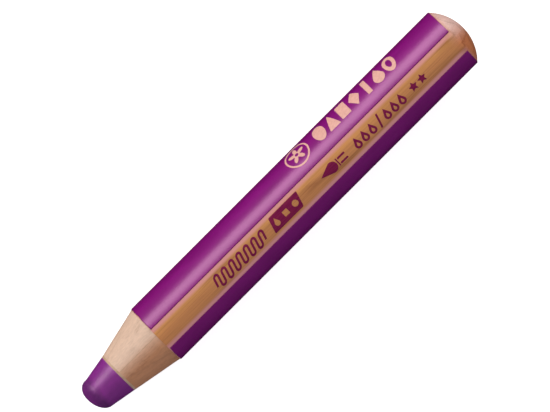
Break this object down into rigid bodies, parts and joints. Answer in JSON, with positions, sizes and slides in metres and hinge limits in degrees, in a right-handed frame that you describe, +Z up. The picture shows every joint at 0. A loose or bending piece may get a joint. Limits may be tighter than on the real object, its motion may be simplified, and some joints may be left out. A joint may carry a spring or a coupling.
{
  "type": "jumbo wood-cased crayon",
  "caption": "Thick round wax crayon in a glued wood casing, sharpened blunt at one end and domed at the other, with purple lacquer bands and bare varnished wood stripes.",
  "frame": {"origin": "on the surface that the crayon lies on, under the middle of its length", "axes": "+X along the crayon from the sharpened tip to the domed end, +Z up through the middle of the printed wood stripe, +Y towards the side with the foil marks"},
  "size_m": [0.112, 0.0151, 0.0149],
  "materials": {
    "cedar_wood": "bare wood, cut by a sharpener, matt",
    "wood_glue": "dried white wood glue",
    "wax_lead": "smooth purple wax with a soft sheen",
    "clear_varnish": "clear satin varnish over wood, which it turns golden",
    "purple_lacquer": "glossy purple lacquer",
    "pale_foil": "pale hot-stamped foil, satin",
    "dark_ink": "dark purple stamped ink"
  },
  "bodies": {
    "root": {"casing_half_thick": "cedar_wood", "casing_half_thin": "cedar_wood", "foil_bar": "pale_foil", "foil_block": "pale_foil", "foil_diamond": "pale_foil", "foil_drop": "pale_foil", "foil_emblem_flower": "pale_foil", "foil_emblem_ring": "pale_foil", "foil_oval": "pale_foil", "foil_ring": "pale_foil", "foil_triangle": "pale_foil", "ink_badge": "dark_ink", "ink_brush_ferrule": "dark_ink", "ink_brush_head": "dark_ink", "ink_brush_side_1": "dark_ink", "ink_brush_side_2": "dark_ink", "ink_drop_1": "dark_ink", "ink_drop_2": "dark_ink", "ink_drop_3": "dark_ink", "ink_drop_4": "dark_ink", "ink_drop_5": "dark_ink", "ink_drop_6": "dark_ink", "ink_slash": "dark_ink", "ink_squiggle": "dark_ink", "ink_star_1": "dark_ink", "ink_star_2": "dark_ink", "lacquer_band_1": "purple_lacquer", "lacquer_band_2": "purple_lacquer", "lacquer_band_3": "purple_lacquer", "lead_core": "wax_lead", "lead_glue": "wood_glue", "seam_glue": "wood_glue", "varnish_coat": "clear_varnish"}
  },
  "joints": []
}
